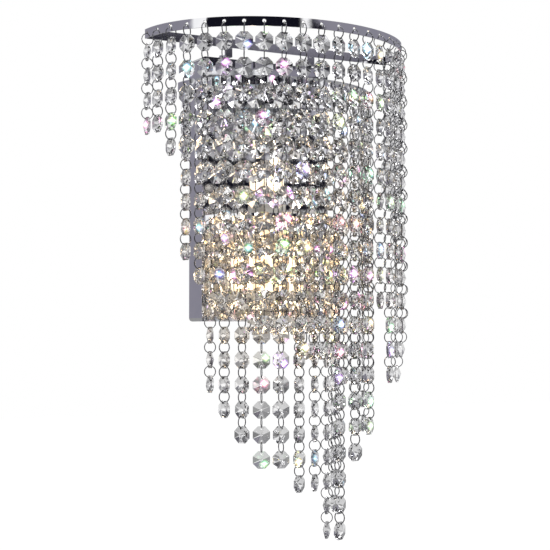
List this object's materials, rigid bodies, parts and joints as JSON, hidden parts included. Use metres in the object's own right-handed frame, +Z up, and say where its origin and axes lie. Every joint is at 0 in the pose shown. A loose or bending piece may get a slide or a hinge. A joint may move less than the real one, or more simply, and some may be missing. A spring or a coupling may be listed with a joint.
{
  "type": "wall sconce",
  "caption": "Wall light with a flat steel box, drilled half-elliptic bands and hanging strands of cut glass octagons around small capsule lamps.",
  "frame": {"origin": "middle of the wall bracket's two fixing holes, on the wall plane", "axes": "+Z up, -Y out of the wall towards the room, +X to the right seen from the room"},
  "size_m": [0.2422, 0.136, 0.4162],
  "materials": {
    "polished_steel": "mirror polished",
    "bracket_steel": "zinc plated",
    "screw_steel": "nickel plated",
    "crystal": "clear, cut and polished",
    "lamp_glass": "clear",
    "ceramic": "unglazed ceramic",
    "terminal_plastic": "moulded"
  },
  "bodies": {
    "frame": {"back_box": "polished_steel", "bottom_trim": "polished_steel", "wall_bracket": "bracket_steel", "terminal_block": "terminal_plastic", "screws": "screw_steel", "outer_band": "polished_steel", "upper_band": "polished_steel", "middle_band": "polished_steel", "back_bars": "polished_steel", "band_brackets": "polished_steel", "lamp_shelves": "polished_steel", "lamp_holders": "ceramic", "lamps": "lamp_glass"},
    "outer_strand_01_body": {"outer_strand_01": "crystal"},
    "outer_strand_02_body": {"outer_strand_02": "crystal"},
    "outer_strand_03_body": {"outer_strand_03": "crystal"},
    "outer_strand_04_body": {"outer_strand_04": "crystal"},
    "outer_strand_05_body": {"outer_strand_05": "crystal"},
    "outer_strand_06_body": {"outer_strand_06": "crystal"},
    "outer_strand_07_body": {"outer_strand_07": "crystal"},
    "outer_strand_08_body": {"outer_strand_08": "crystal"},
    "outer_strand_09_body": {"outer_strand_09": "crystal"},
    "outer_strand_10_body": {"outer_strand_10": "crystal"},
    "outer_strand_11_body": {"outer_strand_11": "crystal"},
    "outer_strand_12_body": {"outer_strand_12": "crystal"},
    "outer_strand_13_body": {"outer_strand_13": "crystal"},
    "outer_strand_14_body": {"outer_strand_14": "crystal"},
    "outer_strand_15_body": {"outer_strand_15": "crystal"},
    "outer_strand_16_body": {"outer_strand_16": "crystal"},
    "outer_strand_17_body": {"outer_strand_17": "crystal"},
    "outer_strand_18_body": {"outer_strand_18": "crystal"},
    "outer_strand_19_body": {"outer_strand_19": "crystal"},
    "outer_strand_20_body": {"outer_strand_20": "crystal"},
    "outer_strand_21_body": {"outer_strand_21": "crystal"},
    "outer_strand_22_body": {"outer_strand_22": "crystal"},
    "upper_strand_01_body": {"upper_strand_01": "crystal"},
    "upper_strand_02_body": {"upper_strand_02": "crystal"},
    "upper_strand_03_body": {"upper_strand_03": "crystal"},
    "upper_strand_04_body": {"upper_strand_04": "crystal"},
    "upper_strand_05_body": {"upper_strand_05": "crystal"},
    "upper_strand_06_body": {"upper_strand_06": "crystal"},
    "upper_strand_07_body": {"upper_strand_07": "crystal"},
    "upper_strand_08_body": {"upper_strand_08": "crystal"},
    "upper_strand_09_body": {"upper_strand_09": "crystal"},
    "upper_strand_10_body": {"upper_strand_10": "crystal"},
    "upper_strand_11_body": {"upper_strand_11": "crystal"},
    "upper_strand_12_body": {"upper_strand_12": "crystal"},
    "upper_strand_13_body": {"upper_strand_13": "crystal"},
    "upper_strand_14_body": {"upper_strand_14": "crystal"},
    "upper_strand_15_body": {"upper_strand_15": "crystal"},
    "middle_strand_01_body": {"middle_strand_01": "crystal"},
    "middle_strand_02_body": {"middle_strand_02": "crystal"},
    "middle_strand_03_body": {"middle_strand_03": "crystal"},
    "middle_strand_04_body": {"middle_strand_04": "crystal"},
    "middle_strand_05_body": {"middle_strand_05": "crystal"},
    "middle_strand_06_body": {"middle_strand_06": "crystal"},
    "middle_strand_07_body": {"middle_strand_07": "crystal"},
    "middle_strand_08_body": {"middle_strand_08": "crystal"},
    "middle_strand_09_body": {"middle_strand_09": "crystal"},
    "middle_strand_10_body": {"middle_strand_10": "crystal"}
  },
  "joints": [
    {"name": "outer_strand_01_swing", "type": "hinge", "parent": "frame", "child": "outer_strand_01_body", "pos_m": [-0.11593, -0.03652, 0.1218], "axis": [-0.0425, 0.9991, 0], "range_deg": [-4.19, 25]},
    {"name": "outer_strand_02_swing", "type": "hinge", "parent": "frame", "child": "outer_strand_02_body", "pos_m": [-0.11379, -0.05205, 0.1218], "axis": [-0.2284, 0.9736, 0], "range_deg": [-4.19, 25]},
    {"name": "outer_strand_03_swing", "type": "hinge", "parent": "frame", "child": "outer_strand_03_body", "pos_m": [-0.10883, -0.06693, 0.1218], "axis": [-0.4003, 0.9164, 0], "range_deg": [-3.36, 25]},
    {"name": "outer_strand_04_swing", "type": "hinge", "parent": "frame", "child": "outer_strand_04_body", "pos_m": [-0.10133, -0.0807, 0.1218], "axis": [-0.5506, 0.8348, 0], "range_deg": [-3.36, 25]},
    {"name": "outer_strand_05_swing", "type": "hinge", "parent": "frame", "child": "outer_strand_05_body", "pos_m": [-0.09167, -0.09305, 0.1218], "axis": [-0.6762, 0.7367, 0], "range_deg": [-2.81, 25]},
    {"name": "outer_strand_06_swing", "type": "hinge", "parent": "frame", "child": "outer_strand_06_body", "pos_m": [-0.08023, -0.10378, 0.1218], "axis": [-0.7774, 0.6289, 0], "range_deg": [-2.12, 25]},
    {"name": "outer_strand_07_swing", "type": "hinge", "parent": "frame", "child": "outer_strand_07_body", "pos_m": [-0.06737, -0.11278, 0.1218], "axis": [-0.8564, 0.5162, 0], "range_deg": [-1.7, 25]},
    {"name": "outer_strand_08_swing", "type": "hinge", "parent": "frame", "child": "outer_strand_08_body", "pos_m": [-0.05344, -0.11998, 0.1218], "axis": [-0.9158, 0.4016, 0], "range_deg": [-1.42, 25]},
    {"name": "outer_strand_09_swing", "type": "hinge", "parent": "frame", "child": "outer_strand_09_body", "pos_m": [-0.03871, -0.12538, 0.1218], "axis": [-0.9581, 0.2865, 0], "range_deg": [-1.42, 25]},
    {"name": "outer_strand_10_swing", "type": "hinge", "parent": "frame", "child": "outer_strand_10_body", "pos_m": [-0.02343, -0.12898, 0.1218], "axis": [-0.9852, 0.1717, 0], "range_deg": [-1.31, 25]},
    {"name": "outer_strand_11_swing", "type": "hinge", "parent": "frame", "child": "outer_strand_11_body", "pos_m": [-0.00785, -0.13078, 0.1218], "axis": [-0.9984, 0.0572, 0], "range_deg": [-1.31, 25]},
    {"name": "outer_strand_12_swing", "type": "hinge", "parent": "frame", "child": "outer_strand_12_body", "pos_m": [0.00785, -0.13078, 0.1218], "axis": [-0.9984, -0.0572, 0], "range_deg": [-0.85, 25]},
    {"name": "outer_strand_13_swing", "type": "hinge", "parent": "frame", "child": "outer_strand_13_body", "pos_m": [0.02343, -0.12898, 0.1218], "axis": [-0.9852, -0.1717, 0], "range_deg": [-1, 25]},
    {"name": "outer_strand_14_swing", "type": "hinge", "parent": "frame", "child": "outer_strand_14_body", "pos_m": [0.03871, -0.12538, 0.1218], "axis": [-0.9581, -0.2865, 0], "range_deg": [-1.06, 25]},
    {"name": "outer_strand_15_swing", "type": "hinge", "parent": "frame", "child": "outer_strand_15_body", "pos_m": [0.05344, -0.11998, 0.1218], "axis": [-0.9158, -0.4016, 0], "range_deg": [-1.54, 25]},
    {"name": "outer_strand_16_swing", "type": "hinge", "parent": "frame", "child": "outer_strand_16_body", "pos_m": [0.06737, -0.11278, 0.1218], "axis": [-0.8564, -0.5162, 0], "range_deg": [-1.21, 25]},
    {"name": "outer_strand_17_swing", "type": "hinge", "parent": "frame", "child": "outer_strand_17_body", "pos_m": [0.08023, -0.10378, 0.1218], "axis": [-0.7774, -0.6289, 0], "range_deg": [-1.21, 25]},
    {"name": "outer_strand_18_swing", "type": "hinge", "parent": "frame", "child": "outer_strand_18_body", "pos_m": [0.09167, -0.09305, 0.1218], "axis": [-0.6762, -0.7367, 0], "range_deg": [-1.31, 25]},
    {"name": "outer_strand_19_swing", "type": "hinge", "parent": "frame", "child": "outer_strand_19_body", "pos_m": [0.10133, -0.0807, 0.1218], "axis": [-0.5506, -0.8348, 0], "range_deg": [-1.42, 25]},
    {"name": "outer_strand_20_swing", "type": "hinge", "parent": "frame", "child": "outer_strand_20_body", "pos_m": [0.10883, -0.06693, 0.1218], "axis": [-0.4003, -0.9164, 0], "range_deg": [-1.7, 25]},
    {"name": "outer_strand_21_swing", "type": "hinge", "parent": "frame", "child": "outer_strand_21_body", "pos_m": [0.11379, -0.05205, 0.1218], "axis": [-0.2284, -0.9736, 0], "range_deg": [-2.12, 25]},
    {"name": "outer_strand_22_swing", "type": "hinge", "parent": "frame", "child": "outer_strand_22_body", "pos_m": [0.11593, -0.03652, 0.1218], "axis": [-0.0425, -0.9991, 0], "range_deg": [-2.81, 25]},
    {"name": "upper_strand_01_swing", "type": "hinge", "parent": "frame", "child": "upper_strand_01_body", "pos_m": [-0.08524, -0.04454, 0.0808], "axis": [-0.1988, 0.98, 0], "range_deg": [-2.41, 2.41]},
    {"name": "upper_strand_02_swing", "type": "hinge", "parent": "frame", "child": "upper_strand_02_body", "pos_m": [-0.08002, -0.05962, 0.0808], "axis": [-0.4459, 0.8951, 0], "range_deg": [-2.12, 2.12]},
    {"name": "upper_strand_03_swing", "type": "hinge", "parent": "frame", "child": "upper_strand_03_body", "pos_m": [-0.07124, -0.07295, 0.0808], "axis": [-0.6431, 0.7658, 0], "range_deg": [-1.88, 1.88]},
    {"name": "upper_strand_04_swing", "type": "hinge", "parent": "frame", "child": "upper_strand_04_body", "pos_m": [-0.05972, -0.08402, 0.0808], "axis": [-0.7879, 0.6159, 0], "range_deg": [-1.88, 1.88]},
    {"name": "upper_strand_05_swing", "type": "hinge", "parent": "frame", "child": "upper_strand_05_body", "pos_m": [-0.04627, -0.09263, 0.0808], "axis": [-0.8879, 0.46, 0], "range_deg": [-1.7, 1.7]},
    {"name": "upper_strand_06_swing", "type": "hinge", "parent": "frame", "child": "upper_strand_06_body", "pos_m": [-0.0315, -0.09874, 0.0808], "axis": [-0.9524, 0.3047, 0], "range_deg": [-1.7, 1.7]},
    {"name": "upper_strand_07_swing", "type": "hinge", "parent": "frame", "child": "upper_strand_07_body", "pos_m": [-0.01594, -0.10239, 0.0808], "axis": [-0.9884, 0.1516, 0], "range_deg": [-1.7, 1.7]},
    {"name": "upper_strand_08_swing", "type": "hinge", "parent": "frame", "child": "upper_strand_08_body", "pos_m": [0, -0.1036, 0.0808], "axis": [-1, 0, 0], "range_deg": [-1.54, 1.54]},
    {"name": "upper_strand_09_swing", "type": "hinge", "parent": "frame", "child": "upper_strand_09_body", "pos_m": [0.01594, -0.10239, 0.0808], "axis": [-0.9884, -0.1516, 0], "range_deg": [-1.54, 1.54]},
    {"name": "upper_strand_10_swing", "type": "hinge", "parent": "frame", "child": "upper_strand_10_body", "pos_m": [0.0315, -0.09874, 0.0808], "axis": [-0.9524, -0.3047, 0], "range_deg": [-1.42, 1.42]},
    {"name": "upper_strand_11_swing", "type": "hinge", "parent": "frame", "child": "upper_strand_11_body", "pos_m": [0.04627, -0.09263, 0.0808], "axis": [-0.8879, -0.46, 0], "range_deg": [-1.31, 1.31]},
    {"name": "upper_strand_12_swing", "type": "hinge", "parent": "frame", "child": "upper_strand_12_body", "pos_m": [0.05972, -0.08402, 0.0808], "axis": [-0.7879, -0.6159, 0], "range_deg": [-1.21, 1.21]},
    {"name": "upper_strand_13_swing", "type": "hinge", "parent": "frame", "child": "upper_strand_13_body", "pos_m": [0.07124, -0.07295, 0.0808], "axis": [-0.6431, -0.7658, 0], "range_deg": [-1.42, 1.42]},
    {"name": "upper_strand_14_swing", "type": "hinge", "parent": "frame", "child": "upper_strand_14_body", "pos_m": [0.08002, -0.05962, 0.0808], "axis": [-0.4459, -0.8951, 0], "range_deg": [-1.7, 1.7]},
    {"name": "upper_strand_15_swing", "type": "hinge", "parent": "frame", "child": "upper_strand_15_body", "pos_m": [0.08524, -0.04454, 0.0808], "axis": [-0.1988, -0.98, 0], "range_deg": [-1.88, 1.88]},
    {"name": "middle_strand_01_swing", "type": "hinge", "parent": "frame", "child": "middle_strand_01_body", "pos_m": [-0.05882, -0.03605, -0.0272], "axis": [-0.2108, 0.9775, 0], "range_deg": [-2.41, 2.41]},
    {"name": "middle_strand_02_swing", "type": "hinge", "parent": "frame", "child": "middle_strand_02_body", "pos_m": [-0.05317, -0.05095, -0.0272], "axis": [-0.4889, 0.8724, 0], "range_deg": [-2.12, 2.12]},
    {"name": "middle_strand_03_swing", "type": "hinge", "parent": "frame", "child": "middle_strand_03_body", "pos_m": [-0.04346, -0.06361, -0.0272], "axis": [-0.714, 0.7002, 0], "range_deg": [-1.88, 1.88]},
    {"name": "middle_strand_04_swing", "type": "hinge", "parent": "frame", "child": "middle_strand_04_body", "pos_m": [-0.03067, -0.07313, -0.0272], "axis": [-0.8744, 0.4853, 0], "range_deg": [-1.7, 1.7]},
    {"name": "middle_strand_05_swing", "type": "hinge", "parent": "frame", "child": "middle_strand_05_body", "pos_m": [-0.01583, -0.07901, -0.0272], "axis": [-0.9689, 0.2474, 0], "range_deg": [-1.7, 1.7]},
    {"name": "middle_strand_06_swing", "type": "hinge", "parent": "frame", "child": "middle_strand_06_body", "pos_m": [0, -0.081, -0.0272], "axis": [-1, 0, 0], "range_deg": [-1.54, 1.54]},
    {"name": "middle_strand_07_swing", "type": "hinge", "parent": "frame", "child": "middle_strand_07_body", "pos_m": [0.01583, -0.07901, -0.0272], "axis": [-0.9689, -0.2474, 0], "range_deg": [-1.54, 1.54]},
    {"name": "middle_strand_08_swing", "type": "hinge", "parent": "frame", "child": "middle_strand_08_body", "pos_m": [0.03067, -0.07313, -0.0272], "axis": [-0.8744, -0.4853, 0], "range_deg": [-1.31, 1.31]},
    {"name": "middle_strand_09_swing", "type": "hinge", "parent": "frame", "child": "middle_strand_09_body", "pos_m": [0.04346, -0.06361, -0.0272], "axis": [-0.714, -0.7002, 0], "range_deg": [-1.42, 1.42]},
    {"name": "middle_strand_10_swing", "type": "hinge", "parent": "frame", "child": "middle_strand_10_body", "pos_m": [0.05317, -0.05095, -0.0272], "axis": [-0.4889, -0.8724, 0], "range_deg": [-1.54, 1.54]}
  ]
}
